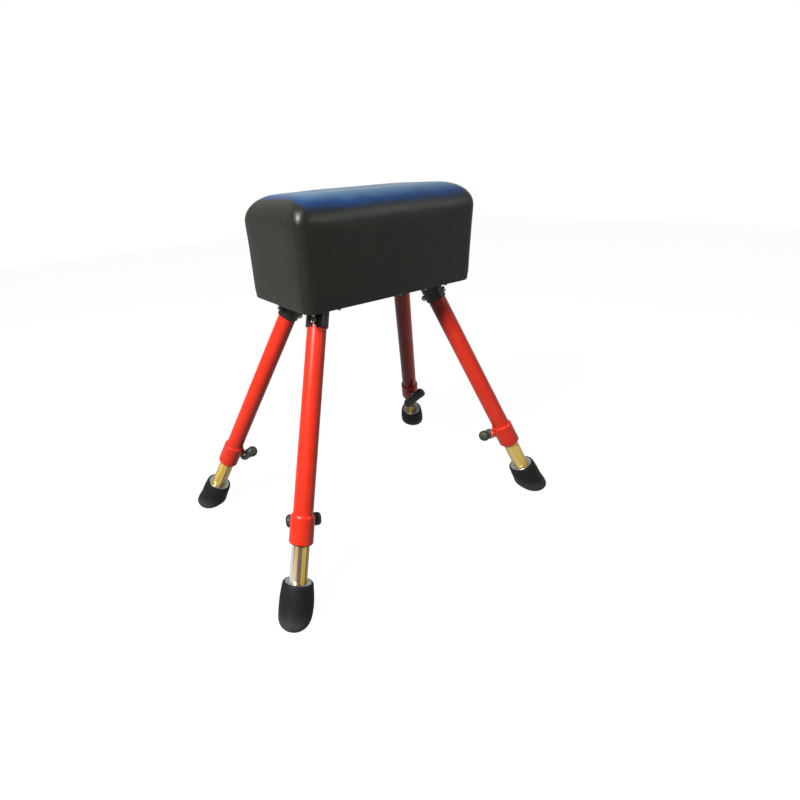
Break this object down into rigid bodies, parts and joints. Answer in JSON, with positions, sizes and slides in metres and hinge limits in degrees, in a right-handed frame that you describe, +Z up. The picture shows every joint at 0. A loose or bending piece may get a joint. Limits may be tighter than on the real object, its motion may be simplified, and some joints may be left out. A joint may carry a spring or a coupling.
{
  "type": "vaulting buck",
  "caption": "Short vaulting horse: a leather-covered padded wooden body on splayed telescopic steel legs with T-handle clamps and rubber feet.",
  "frame": {"origin": "on the floor, straight under the middle of the padded body", "axes": "+X along the body's long side, +Y across it towards the back, +Z up; left is -X and front is -Y"},
  "size_m": [1.1666, 0.7642, 1.15],
  "materials": {
    "cover_leather": "grained, blue on top and near-black on the sides",
    "felt": "pressed felt",
    "core_wood": "planed softwood",
    "plywood": "birch plywood",
    "zinc_steel": "zinc plated",
    "tack_brass": "dull",
    "black_steel": "black enamel",
    "red_paint": "gloss orange-red enamel",
    "guide_plastic": "natural nylon",
    "yellow_zinc": "yellow-passivated bright steel",
    "plate_steel": "plain",
    "foot_rubber": "moulded, dusty towards the sole",
    "screw_steel": "bright",
    "grip_plastic": "moulded grip"
  },
  "bodies": {
    "buck_body": {"leather_cover": "cover_leather", "felt_padding": "felt", "top_board": "core_wood", "side_board_front": "core_wood", "side_board_back": "core_wood", "end_board_left": "core_wood", "end_board_right": "core_wood", "base_board": "plywood", "corner_blocks": "core_wood", "core_screws": "zinc_steel", "cover_tacks": "tack_brass", "flange_bolts": "zinc_steel", "flange_washers": "zinc_steel", "flange_nuts": "zinc_steel", "socket_bolts": "zinc_steel", "socket_nuts": "zinc_steel", "leg_socket_front_left": "black_steel", "leg_tube_front_left": "red_paint", "leg_collar_front_left": "red_paint", "collar_bush_front_left": "guide_plastic", "leg_socket_front_right": "black_steel", "leg_tube_front_right": "red_paint", "leg_collar_front_right": "red_paint", "collar_bush_front_right": "guide_plastic", "leg_socket_back_left": "black_steel", "leg_tube_back_left": "red_paint", "leg_collar_back_left": "red_paint", "collar_bush_back_left": "guide_plastic", "leg_socket_back_right": "black_steel", "leg_tube_back_right": "red_paint", "leg_collar_back_right": "red_paint", "collar_bush_back_right": "guide_plastic"},
    "leg_front_left": {"inner_leg_front_left": "yellow_zinc", "top_bush_front_left": "guide_plastic", "foot_plate_front_left": "plate_steel", "rubber_foot_front_left": "foot_rubber"},
    "pin_front_left": {"lock_pin_front_left": "screw_steel"},
    "handle_front_left": {"clamp_screw_front_left": "screw_steel", "t_handle_front_left": "grip_plastic"},
    "leg_front_right": {"inner_leg_front_right": "yellow_zinc", "top_bush_front_right": "guide_plastic", "foot_plate_front_right": "plate_steel", "rubber_foot_front_right": "foot_rubber"},
    "pin_front_right": {"lock_pin_front_right": "screw_steel"},
    "handle_front_right": {"clamp_screw_front_right": "screw_steel", "t_handle_front_right": "grip_plastic"},
    "leg_back_left": {"inner_leg_back_left": "yellow_zinc", "top_bush_back_left": "guide_plastic", "foot_plate_back_left": "plate_steel", "rubber_foot_back_left": "foot_rubber"},
    "pin_back_left": {"lock_pin_back_left": "screw_steel"},
    "handle_back_left": {"clamp_screw_back_left": "screw_steel", "t_handle_back_left": "grip_plastic"},
    "leg_back_right": {"inner_leg_back_right": "yellow_zinc", "top_bush_back_right": "guide_plastic", "foot_plate_back_right": "plate_steel", "rubber_foot_back_right": "foot_rubber"},
    "pin_back_right": {"lock_pin_back_right": "screw_steel"},
    "handle_back_right": {"clamp_screw_back_right": "screw_steel", "t_handle_back_right": "grip_plastic"}
  },
  "joints": [
    {"name": "leg_slide_front_left", "type": "slide", "parent": "buck_body", "child": "leg_front_left", "axis": [-0.3357, -0.2867, -0.8973], "range_m": [-0.05572, 0.27863]},
    {"name": "pin_slide_front_left", "type": "slide", "parent": "buck_body", "child": "pin_front_left", "axis": [0.4909, 0.7597, -0.4265], "range_m": [-0.0051, 0.0021]},
    {"name": "handle_turn_front_left", "type": "hinge", "parent": "pin_front_left", "child": "handle_front_left", "pos_m": [-0.41274, -0.20705, 0.21236], "axis": [0.4909, 0.7597, -0.4265], "range_deg": [-900, 360]},
    {"name": "leg_slide_front_right", "type": "slide", "parent": "buck_body", "child": "leg_front_right", "axis": [0.3357, -0.2867, -0.8973], "range_m": [-0.05572, 0.27863]},
    {"name": "pin_slide_front_right", "type": "slide", "parent": "buck_body", "child": "pin_front_right", "axis": [-0.4909, 0.7597, -0.4265], "range_m": [-0.0051, 0.0021]},
    {"name": "handle_turn_front_right", "type": "hinge", "parent": "pin_front_right", "child": "handle_front_right", "pos_m": [0.41274, -0.20705, 0.21236], "axis": [-0.4909, 0.7597, -0.4265], "range_deg": [-900, 360]},
    {"name": "leg_slide_back_left", "type": "slide", "parent": "buck_body", "child": "leg_back_left", "axis": [-0.3357, 0.2867, -0.8973], "range_m": [-0.05572, 0.27863]},
    {"name": "pin_slide_back_left", "type": "slide", "parent": "buck_body", "child": "pin_back_left", "axis": [0.8928, -0.2068, -0.4001], "range_m": [-0.0051, 0.0021]},
    {"name": "handle_turn_back_left", "type": "hinge", "parent": "pin_back_left", "child": "handle_back_left", "pos_m": [-0.38642, 0.24327, 0.21409], "axis": [0.8928, -0.2068, -0.4001], "range_deg": [-900, 360]},
    {"name": "leg_slide_back_right", "type": "slide", "parent": "buck_body", "child": "leg_back_right", "axis": [0.3357, 0.2867, -0.8973], "range_m": [-0.05572, 0.27863]},
    {"name": "pin_slide_back_right", "type": "slide", "parent": "buck_body", "child": "pin_back_right", "axis": [-0.3439, -0.8495, -0.4001], "range_m": [-0.0051, 0.0021]},
    {"name": "handle_turn_back_right", "type": "hinge", "parent": "pin_back_right", "child": "handle_back_right", "pos_m": [0.42237, 0.20117, 0.21409], "axis": [-0.3439, -0.8495, -0.4001], "range_deg": [-900, 360]}
  ],
  "couplings": [
    {"joint": "pin_slide_front_left", "follows": "handle_turn_front_left", "m_per_rad": 0.00031831},
    {"joint": "pin_slide_front_right", "follows": "handle_turn_front_right", "m_per_rad": 0.00031831},
    {"joint": "pin_slide_back_left", "follows": "handle_turn_back_left", "m_per_rad": 0.00031831},
    {"joint": "pin_slide_back_right", "follows": "handle_turn_back_right", "m_per_rad": 0.00031831}
  ]
}
